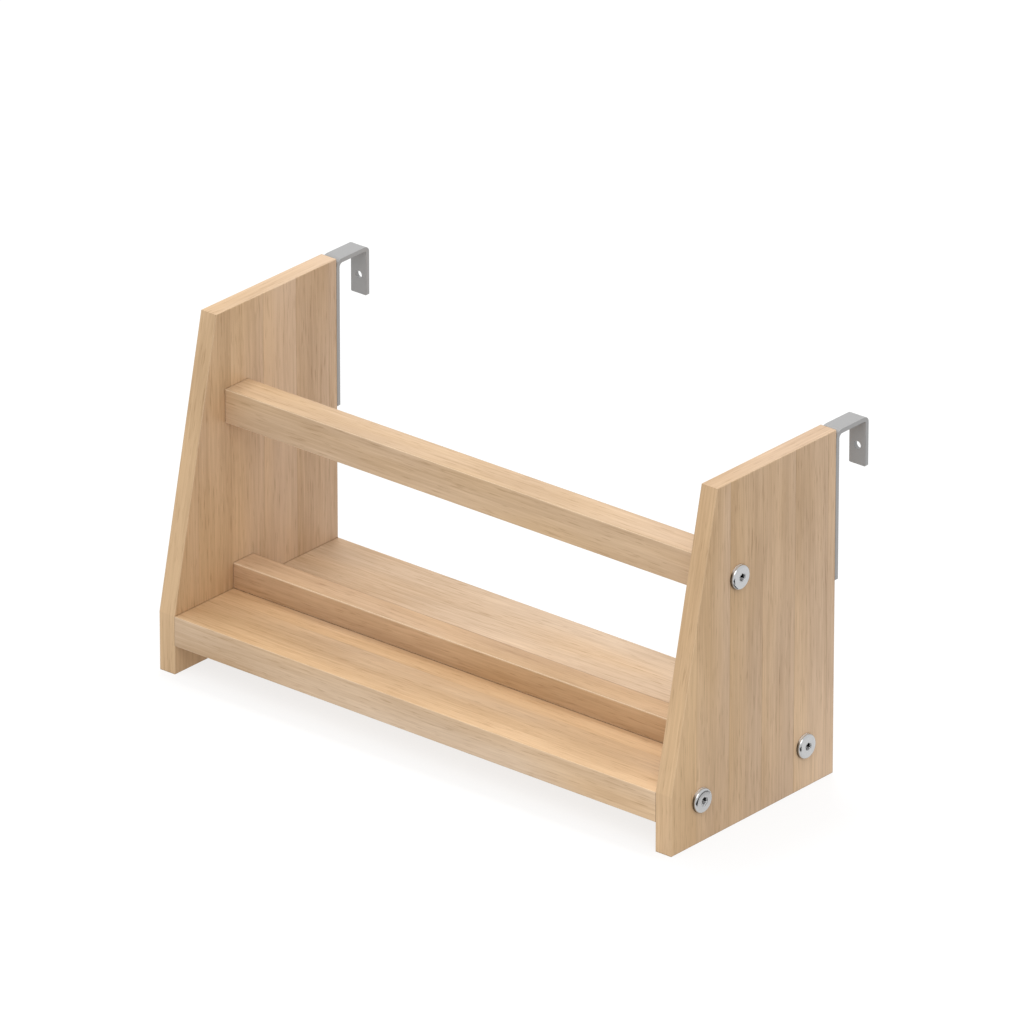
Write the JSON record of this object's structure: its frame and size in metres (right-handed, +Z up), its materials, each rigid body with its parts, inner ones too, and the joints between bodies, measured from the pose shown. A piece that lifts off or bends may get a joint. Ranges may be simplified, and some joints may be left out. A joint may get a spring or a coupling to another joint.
{
  "type": "hanging bedside tray",
  "caption": "Oak tray with tapered ends, a shelf with a divider batten and a rail above it, hung from a bed's guard rail by bent steel hooks.",
  "frame": {"origin": "on the surface the panels' feet stand on, in the middle of the tray's length and of its whole depth with the hooks", "axes": "+X along the tray to the right as seen from its open front, +Y from the front to the hooks, +Z up"},
  "size_m": [0.446, 0.198, 0.245],
  "materials": {
    "panel_oak": "clear matt lacquer, upright grain",
    "shelf_oak": "clear matt lacquer, grain along the shelf",
    "batten_oak": "clear matt lacquer, grain along the batten",
    "rail_oak": "clear matt lacquer, grain along the rail",
    "beech_dowel": "bare turned beech",
    "hook_steel": "satin silver-grey powder coat",
    "bolt_nickel": "bright nickel plate",
    "zinc_steel": "bright zinc plate"
  },
  "bodies": {
    "root": {"left_end_panel": "panel_oak", "right_end_panel": "panel_oak", "shelf_board": "shelf_oak", "divider_batten": "batten_oak", "top_rail": "rail_oak", "left_hook": "hook_steel", "right_hook": "hook_steel", "left_rail_bolt": "bolt_nickel", "left_front_bolt": "bolt_nickel", "left_rear_bolt": "bolt_nickel", "right_rail_bolt": "bolt_nickel", "right_front_bolt": "bolt_nickel", "right_rear_bolt": "bolt_nickel", "left_rail_nut": "zinc_steel", "left_front_nut": "zinc_steel", "left_rear_nut": "zinc_steel", "right_rail_nut": "zinc_steel", "right_front_nut": "zinc_steel", "right_rear_nut": "zinc_steel", "left_rail_dowel": "beech_dowel", "right_rail_dowel": "beech_dowel", "left_shelf_dowels": "beech_dowel", "right_shelf_dowels": "beech_dowel", "left_hook_screws": "zinc_steel", "right_hook_screws": "zinc_steel", "batten_screws": "zinc_steel"}
  },
  "joints": []
}
